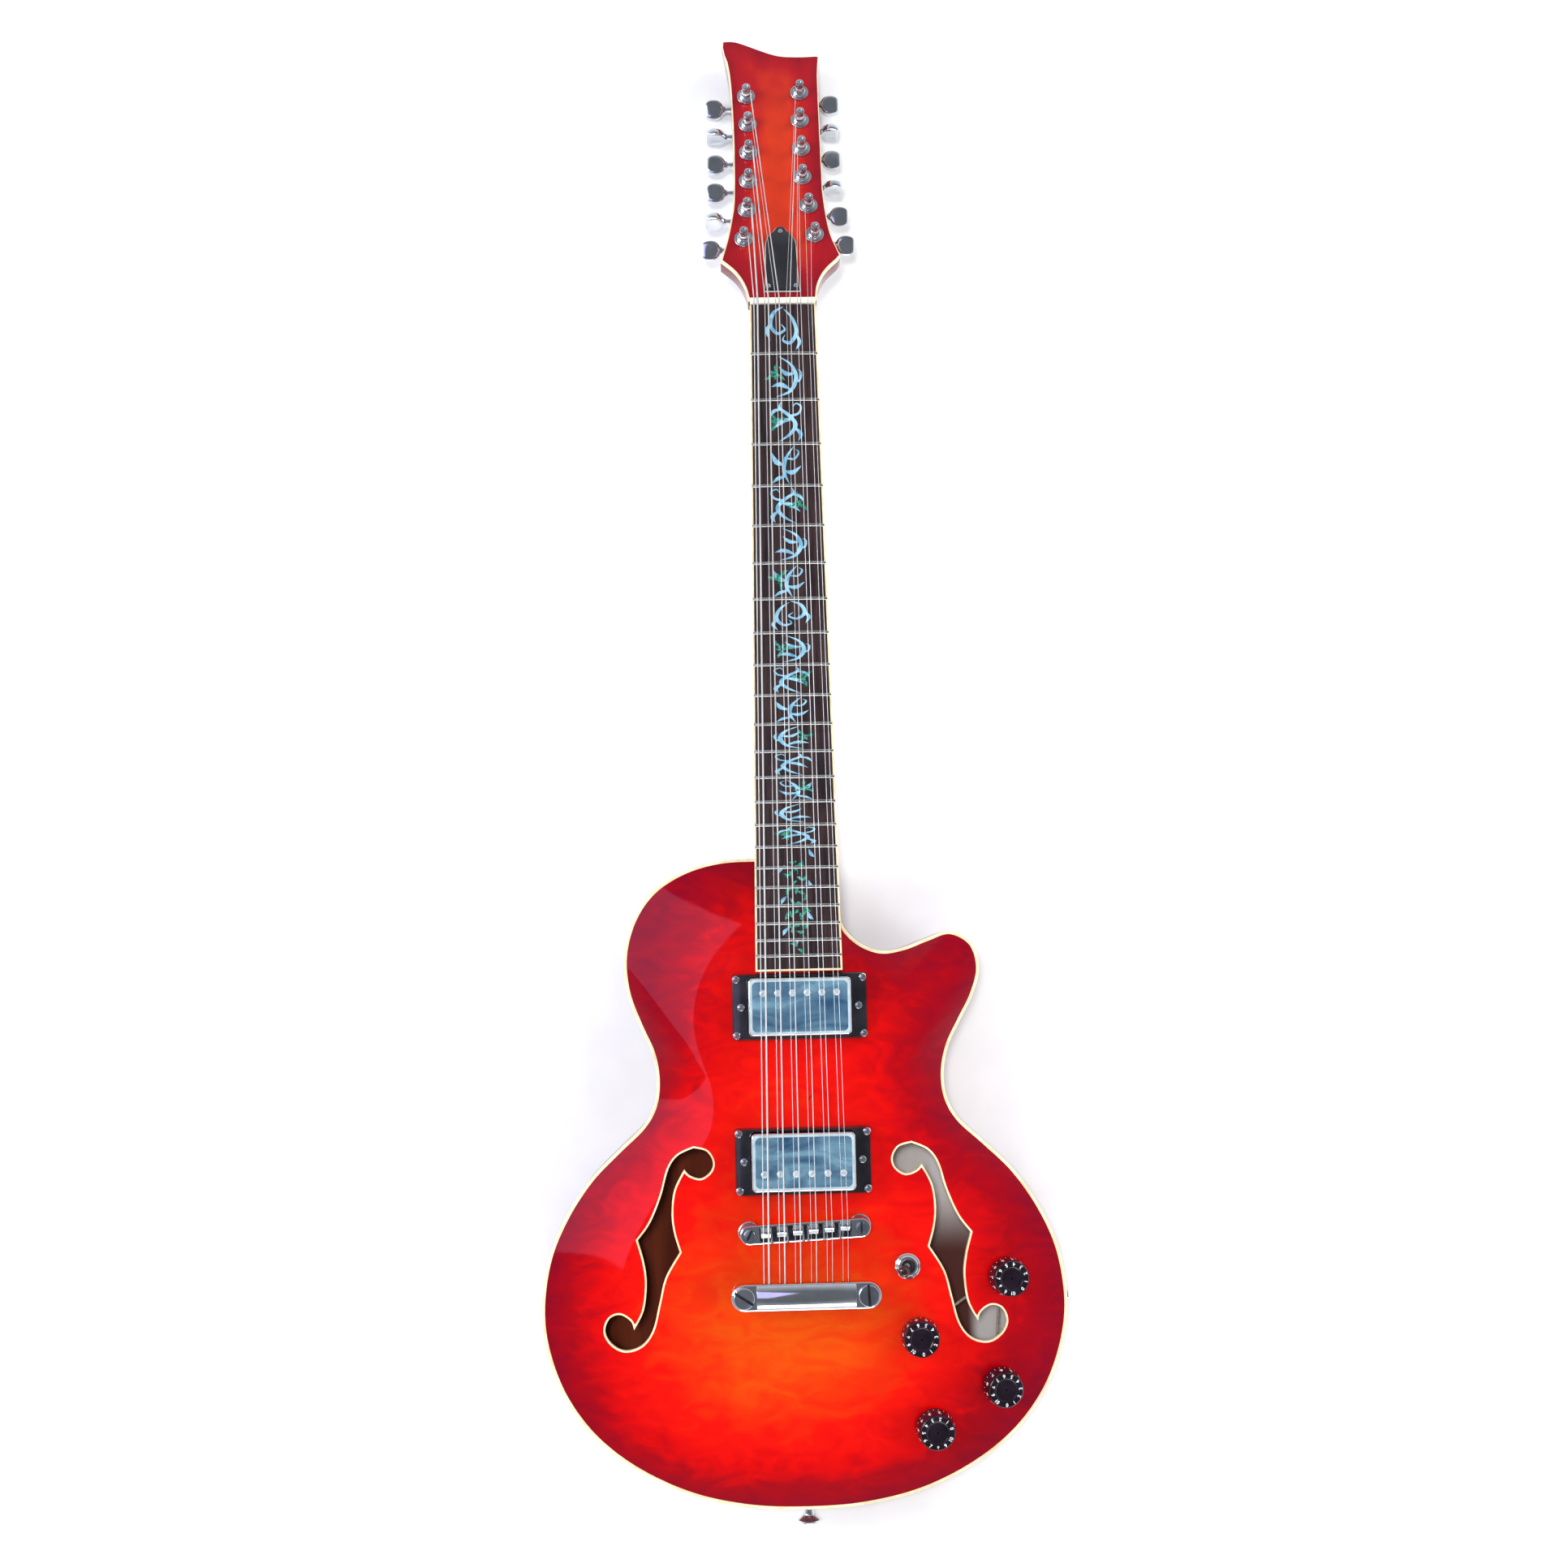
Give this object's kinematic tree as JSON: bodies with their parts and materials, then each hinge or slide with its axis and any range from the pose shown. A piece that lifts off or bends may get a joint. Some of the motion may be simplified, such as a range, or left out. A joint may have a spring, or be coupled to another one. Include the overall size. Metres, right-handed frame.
{
  "type": "twelve-string electric guitar",
  "caption": "Thinline semi-hollow electric guitar with paired strings, arched sunburst top, f-holes, covered pickups, a rounded cutaway and enclosed tuners.",
  "frame": {"origin": "on the flat back, under the middle of the body's width, 600 mm along the scale from the nut", "axes": "+Z out of the face, +Y up the neck to the headstock, +X to the side of the thin strings, the cutaway and the controls"},
  "size_m": [0.3538, 1.046, 0.1257],
  "materials": {
    "cherry_lacquer": "gloss lacquer",
    "sunburst_top": "gloss sunburst lacquer",
    "cream_binding": "gloss",
    "crimson_head_face": "gloss lacquer",
    "rosewood": "oiled",
    "ivory_nut": "polished bone",
    "black_plastic": "gloss",
    "chrome": "polished",
    "string_steel": "wound and plain steel",
    "rod_steel": "satin",
    "pot_metal": "satin"
  },
  "bodies": {
    "guitar": {"body_back": "cherry_lacquer", "body_binding": "cream_binding", "body_top": "sunburst_top", "bridge": "chrome", "fretboard": "rosewood", "headstock_overlay": "crimson_head_face", "neck": "cherry_lacquer", "nut": "ivory_nut", "output_jack": "chrome", "pickup_bridge": "chrome", "pickup_neck": "chrome", "pickup_ring_bridge": "black_plastic", "pickup_ring_neck": "black_plastic", "strap_button_end": "chrome", "strap_button_heel": "chrome", "string_1": "string_steel", "string_10": "string_steel", "string_11": "string_steel", "string_12": "string_steel", "string_2": "string_steel", "string_3": "string_steel", "string_4": "string_steel", "string_5": "string_steel", "string_6": "string_steel", "string_7": "string_steel", "string_8": "string_steel", "string_9": "string_steel", "tailpiece": "chrome", "truss_rod": "rod_steel", "truss_rod_cover": "black_plastic", "wiring_harness": "pot_metal"},
    "tuner_button_bass_1": {"tuner_button_bass_1": "chrome"},
    "tuner_post_bass_1": {"tuner_post_bass_1": "chrome"},
    "tuner_button_bass_2": {"tuner_button_bass_2": "chrome"},
    "tuner_post_bass_2": {"tuner_post_bass_2": "chrome"},
    "tuner_button_bass_3": {"tuner_button_bass_3": "chrome"},
    "tuner_post_bass_3": {"tuner_post_bass_3": "chrome"},
    "tuner_button_bass_4": {"tuner_button_bass_4": "chrome"},
    "tuner_post_bass_4": {"tuner_post_bass_4": "chrome"},
    "tuner_button_bass_5": {"tuner_button_bass_5": "chrome"},
    "tuner_post_bass_5": {"tuner_post_bass_5": "chrome"},
    "tuner_button_bass_6": {"tuner_button_bass_6": "chrome"},
    "tuner_post_bass_6": {"tuner_post_bass_6": "chrome"},
    "tuner_button_treble_1": {"tuner_button_treble_1": "chrome"},
    "tuner_post_treble_1": {"tuner_post_treble_1": "chrome"},
    "tuner_button_treble_2": {"tuner_button_treble_2": "chrome"},
    "tuner_post_treble_2": {"tuner_post_treble_2": "chrome"},
    "tuner_button_treble_3": {"tuner_button_treble_3": "chrome"},
    "tuner_post_treble_3": {"tuner_post_treble_3": "chrome"},
    "tuner_button_treble_4": {"tuner_button_treble_4": "chrome"},
    "tuner_post_treble_4": {"tuner_post_treble_4": "chrome"},
    "tuner_button_treble_5": {"tuner_button_treble_5": "chrome"},
    "tuner_post_treble_5": {"tuner_post_treble_5": "chrome"},
    "tuner_button_treble_6": {"tuner_button_treble_6": "chrome"},
    "tuner_post_treble_6": {"tuner_post_treble_6": "chrome"},
    "knob_neck_volume": {"knob_neck_volume": "black_plastic"},
    "knob_bridge_volume": {"knob_bridge_volume": "black_plastic"},
    "knob_neck_tone": {"knob_neck_tone": "black_plastic"},
    "knob_bridge_tone": {"knob_bridge_tone": "black_plastic"},
    "switch_lever": {"switch_lever": "black_plastic"}
  },
  "joints": [
    {"name": "turn_tuner_button_bass_1", "type": "hinge", "parent": "guitar", "child": "tuner_button_bass_1", "pos_m": [-0.0259, 0.65108, -0.00621], "axis": [-1, 0, 0], "continuous": true},
    {"name": "turn_tuner_post_bass_1", "type": "hinge", "parent": "guitar", "child": "tuner_post_bass_1", "pos_m": [-0.0259, 0.65124, 0.01794], "axis": [0, 0.284, 0.9588], "continuous": true},
    {"name": "turn_tuner_button_bass_2", "type": "hinge", "parent": "guitar", "child": "tuner_button_bass_2", "pos_m": [-0.023, 0.67447, -0.01314], "axis": [-1, 0, 0], "continuous": true},
    {"name": "turn_tuner_post_bass_2", "type": "hinge", "parent": "guitar", "child": "tuner_post_bass_2", "pos_m": [-0.023, 0.67464, 0.01101], "axis": [0, 0.284, 0.9588], "continuous": true},
    {"name": "turn_tuner_button_bass_3", "type": "hinge", "parent": "guitar", "child": "tuner_button_bass_3", "pos_m": [-0.0216, 0.69787, -0.02007], "axis": [-1, 0, 0], "continuous": true},
    {"name": "turn_tuner_post_bass_3", "type": "hinge", "parent": "guitar", "child": "tuner_post_bass_3", "pos_m": [-0.0216, 0.69803, 0.00408], "axis": [0, 0.284, 0.9588], "continuous": true},
    {"name": "turn_tuner_button_bass_4", "type": "hinge", "parent": "guitar", "child": "tuner_button_bass_4", "pos_m": [-0.0209, 0.72126, -0.027], "axis": [-1, 0, 0], "continuous": true},
    {"name": "turn_tuner_post_bass_4", "type": "hinge", "parent": "guitar", "child": "tuner_post_bass_4", "pos_m": [-0.0209, 0.72143, -0.00285], "axis": [0, 0.284, 0.9588], "continuous": true},
    {"name": "turn_tuner_button_bass_5", "type": "hinge", "parent": "guitar", "child": "tuner_button_bass_5", "pos_m": [-0.0208, 0.74466, -0.03393], "axis": [-1, 0, 0], "continuous": true},
    {"name": "turn_tuner_post_bass_5", "type": "hinge", "parent": "guitar", "child": "tuner_post_bass_5", "pos_m": [-0.0208, 0.74482, -0.00978], "axis": [0, 0.284, 0.9588], "continuous": true},
    {"name": "turn_tuner_button_bass_6", "type": "hinge", "parent": "guitar", "child": "tuner_button_bass_6", "pos_m": [-0.0214, 0.76805, -0.04086], "axis": [-1, 0, 0], "continuous": true},
    {"name": "turn_tuner_post_bass_6", "type": "hinge", "parent": "guitar", "child": "tuner_post_bass_6", "pos_m": [-0.0214, 0.76822, -0.01671], "axis": [0, 0.284, 0.9588], "continuous": true},
    {"name": "turn_tuner_button_treble_1", "type": "hinge", "parent": "guitar", "child": "tuner_button_treble_1", "pos_m": [0.0241, 0.65405, -0.00709], "axis": [1, 0, 0], "continuous": true},
    {"name": "turn_tuner_post_treble_1", "type": "hinge", "parent": "guitar", "child": "tuner_post_treble_1", "pos_m": [0.0241, 0.65421, 0.01706], "axis": [0, 0.284, 0.9588], "continuous": true},
    {"name": "turn_tuner_button_treble_2", "type": "hinge", "parent": "guitar", "child": "tuner_button_treble_2", "pos_m": [0.0205, 0.67744, -0.01402], "axis": [1, 0, 0], "continuous": true},
    {"name": "turn_tuner_post_treble_2", "type": "hinge", "parent": "guitar", "child": "tuner_post_treble_2", "pos_m": [0.0205, 0.67761, 0.01013], "axis": [0, 0.284, 0.9588], "continuous": true},
    {"name": "turn_tuner_button_treble_3", "type": "hinge", "parent": "guitar", "child": "tuner_button_treble_3", "pos_m": [0.017, 0.70084, -0.02095], "axis": [1, 0, 0], "continuous": true},
    {"name": "turn_tuner_post_treble_3", "type": "hinge", "parent": "guitar", "child": "tuner_post_treble_3", "pos_m": [0.017, 0.701, 0.0032], "axis": [0, 0.284, 0.9588], "continuous": true},
    {"name": "turn_tuner_button_treble_4", "type": "hinge", "parent": "guitar", "child": "tuner_button_treble_4", "pos_m": [0.0169, 0.72423, -0.02788], "axis": [1, 0, 0], "continuous": true},
    {"name": "turn_tuner_post_treble_4", "type": "hinge", "parent": "guitar", "child": "tuner_post_treble_4", "pos_m": [0.0169, 0.7244, -0.00373], "axis": [0, 0.284, 0.9588], "continuous": true},
    {"name": "turn_tuner_button_treble_5", "type": "hinge", "parent": "guitar", "child": "tuner_button_treble_5", "pos_m": [0.0168, 0.74763, -0.03481], "axis": [1, 0, 0], "continuous": true},
    {"name": "turn_tuner_post_treble_5", "type": "hinge", "parent": "guitar", "child": "tuner_post_treble_5", "pos_m": [0.0168, 0.74779, -0.01066], "axis": [0, 0.284, 0.9588], "continuous": true},
    {"name": "turn_tuner_button_treble_6", "type": "hinge", "parent": "guitar", "child": "tuner_button_treble_6", "pos_m": [0.0172, 0.77102, -0.04174], "axis": [1, 0, 0], "continuous": true},
    {"name": "turn_tuner_post_treble_6", "type": "hinge", "parent": "guitar", "child": "tuner_post_treble_6", "pos_m": [0.0172, 0.77119, -0.01759], "axis": [0, 0.284, 0.9588], "continuous": true},
    {"name": "turn_knob_neck_volume", "type": "hinge", "parent": "guitar", "child": "knob_neck_volume", "pos_m": [0.1337, -0.0671, 0.05216], "axis": [0.1238, 0.0078, 0.9923], "range_deg": [0, 300]},
    {"name": "turn_knob_bridge_volume", "type": "hinge", "parent": "guitar", "child": "knob_bridge_volume", "pos_m": [0.0748, -0.1043, 0.055], "axis": [0.0033, -0.002, 1], "range_deg": [0, 300]},
    {"name": "turn_knob_neck_tone", "type": "hinge", "parent": "guitar", "child": "knob_neck_tone", "pos_m": [0.1281, -0.1382, 0.05014], "axis": [0.1236, -0.0841, 0.9888], "range_deg": [0, 300]},
    {"name": "turn_knob_bridge_tone", "type": "hinge", "parent": "guitar", "child": "knob_bridge_tone", "pos_m": [0.083, -0.1637, 0.05174], "axis": [0.0662, -0.116, 0.991], "range_deg": [-130, 170]},
    {"name": "tilt_switch_lever", "type": "hinge", "parent": "guitar", "child": "switch_lever", "pos_m": [0.0678, -0.0585, 0.054], "axis": [0.5299, -0.848, 0], "range_deg": [-34, 0]}
  ],
  "couplings": [
    {"joint": "turn_tuner_post_bass_1", "follows": "turn_tuner_button_bass_1", "ratio": 0.066667},
    {"joint": "turn_tuner_post_bass_2", "follows": "turn_tuner_button_bass_2", "ratio": 0.066667},
    {"joint": "turn_tuner_post_bass_3", "follows": "turn_tuner_button_bass_3", "ratio": 0.066667},
    {"joint": "turn_tuner_post_bass_4", "follows": "turn_tuner_button_bass_4", "ratio": 0.066667},
    {"joint": "turn_tuner_post_bass_5", "follows": "turn_tuner_button_bass_5", "ratio": 0.066667},
    {"joint": "turn_tuner_post_bass_6", "follows": "turn_tuner_button_bass_6", "ratio": 0.066667},
    {"joint": "turn_tuner_post_treble_1", "follows": "turn_tuner_button_treble_1", "ratio": -0.066667},
    {"joint": "turn_tuner_post_treble_2", "follows": "turn_tuner_button_treble_2", "ratio": -0.066667},
    {"joint": "turn_tuner_post_treble_3", "follows": "turn_tuner_button_treble_3", "ratio": -0.066667},
    {"joint": "turn_tuner_post_treble_4", "follows": "turn_tuner_button_treble_4", "ratio": -0.066667},
    {"joint": "turn_tuner_post_treble_5", "follows": "turn_tuner_button_treble_5", "ratio": -0.066667},
    {"joint": "turn_tuner_post_treble_6", "follows": "turn_tuner_button_treble_6", "ratio": -0.066667}
  ]
}
